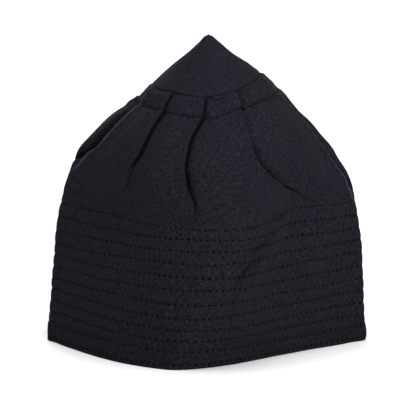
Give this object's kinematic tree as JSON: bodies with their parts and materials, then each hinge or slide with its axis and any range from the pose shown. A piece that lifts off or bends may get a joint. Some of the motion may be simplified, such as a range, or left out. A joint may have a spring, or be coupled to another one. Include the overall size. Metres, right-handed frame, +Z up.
{
  "type": "kufi cap",
  "caption": "Brimless cloth cap with a quilted band, a pleated crown, a pointed tip and a turned hem, standing open on its rim",
  "frame": {"origin": "middle of the cap's outline seen from above, on the surface that the hem rests on", "axes": "+Z up through the tip, -Y out of the front, +X to the right seen from the front"},
  "size_m": [0.1852, 0.1893, 0.1795],
  "materials": {
    "plain_cotton": "matte woven cotton, very dark navy",
    "quilted_cotton": "matte woven cotton, very dark navy, with rows of hand stitching"
  },
  "bodies": {
    "root": {"hem": "plain_cotton", "band": "quilted_cotton", "crown": "plain_cotton", "tip": "plain_cotton"}
  },
  "joints": []
}
